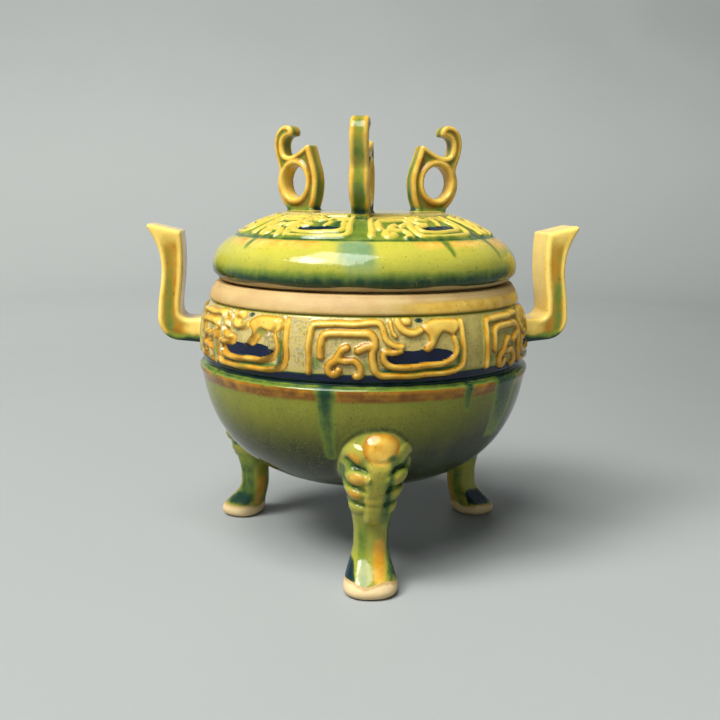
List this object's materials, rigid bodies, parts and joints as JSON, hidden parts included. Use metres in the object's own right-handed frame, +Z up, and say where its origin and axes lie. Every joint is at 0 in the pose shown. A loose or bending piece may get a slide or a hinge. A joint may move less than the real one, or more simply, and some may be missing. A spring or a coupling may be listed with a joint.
{
  "type": "tripod incense burner",
  "caption": "Round glazed earthenware censer on mask legs with upright ears and a lift-off domed lid carrying pierced scroll knobs.",
  "frame": {"origin": "on the bowl's axis, in the plane that the three soles stand on", "axes": "+Z up the bowl's axis, -Y towards the front leg, +X towards the right ear as the front leg is seen"},
  "size_m": [0.1586, 0.1239, 0.1572],
  "materials": {
    "bowl_glaze": "glossy green and amber lead glaze",
    "lid_glaze": "glossy yellow green lead glaze"
  },
  "bodies": {
    "root": {"tripod_bowl": "bowl_glaze", "lid": "lid_glaze"}
  },
  "joints": []
}
